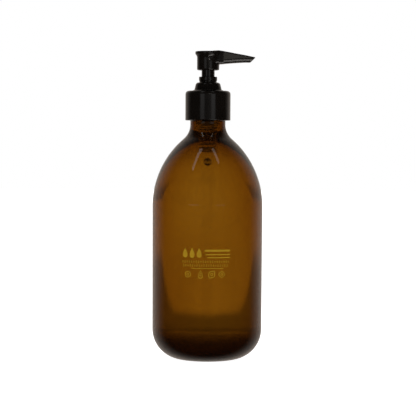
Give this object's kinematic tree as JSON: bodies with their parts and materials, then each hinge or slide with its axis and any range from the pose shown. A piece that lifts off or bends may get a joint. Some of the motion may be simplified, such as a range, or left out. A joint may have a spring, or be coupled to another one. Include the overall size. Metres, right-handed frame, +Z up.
{
  "type": "soap pump dispenser",
  "caption": "Amber glass bottle with an arched shoulder, a smooth screw collar and a sprung lotion pump: press head with long swivelling nozzle, check balls and dip tube.",
  "frame": {"origin": "centre of the bottle's base, on the surface it stands on", "axes": "+Z up along the bottle and pump axis, +X the way the nozzle points at rest"},
  "size_m": [0.075, 0.075, 0.21],
  "materials": {
    "amber_glass": "clear amber, polished",
    "black_plastic": "satin-gloss moulded",
    "natural_plastic": "natural, translucent",
    "white_foam": "fine closed foam",
    "stainless_steel": "bright drawn and ground"
  },
  "bodies": {
    "bottle_body": {"bottle": "amber_glass"},
    "pump_body": {"housing": "natural_plastic", "bottle_gasket": "white_foam", "chaplet": "black_plastic", "stem_seal": "natural_plastic", "ball_retainer": "natural_plastic", "dip_tube": "natural_plastic", "spring": "stainless_steel"},
    "collar_body": {"collar": "black_plastic"},
    "piston_body": {"piston": "natural_plastic"},
    "head_body": {"actuator_head": "black_plastic", "stem": "black_plastic", "piston_retainer": "natural_plastic"},
    "outlet_ball_body": {"outlet_ball": "stainless_steel"},
    "inlet_ball_body": {"inlet_ball": "stainless_steel"}
  },
  "joints": [
    {"name": "pump_lift", "type": "slide", "parent": "bottle_body", "child": "pump_body", "axis": [0, 0, 1], "range_m": [0, 0.00636]},
    {"name": "collar_turn", "type": "hinge", "parent": "pump_body", "child": "collar_body", "pos_m": [0, 0, 0.1627], "axis": [0, 0, 1], "range_deg": [0, 540]},
    {"name": "pump_stroke", "type": "slide", "parent": "pump_body", "child": "piston_body", "axis": [0, 0, -1], "range_m": [0, 0.0082], "stiffness_N_per_m": 900, "springref_m": -0.007, "deforming": ["spring"]},
    {"name": "head_swivel", "type": "hinge", "parent": "piston_body", "child": "head_body", "pos_m": [0, 0, 0.1968], "axis": [0, 0, 1], "continuous": true},
    {"name": "outlet_ball_lift", "type": "slide", "parent": "head_body", "child": "outlet_ball_body", "axis": [0, 0, 1], "range_m": [0, 0.0013]},
    {"name": "inlet_ball_lift", "type": "slide", "parent": "pump_body", "child": "inlet_ball_body", "axis": [0, 0, 1], "range_m": [0, 0.0013]}
  ],
  "couplings": [
    {"joint": "pump_lift", "follows": "collar_turn", "m_per_rad": 0.00067376}
  ]
}
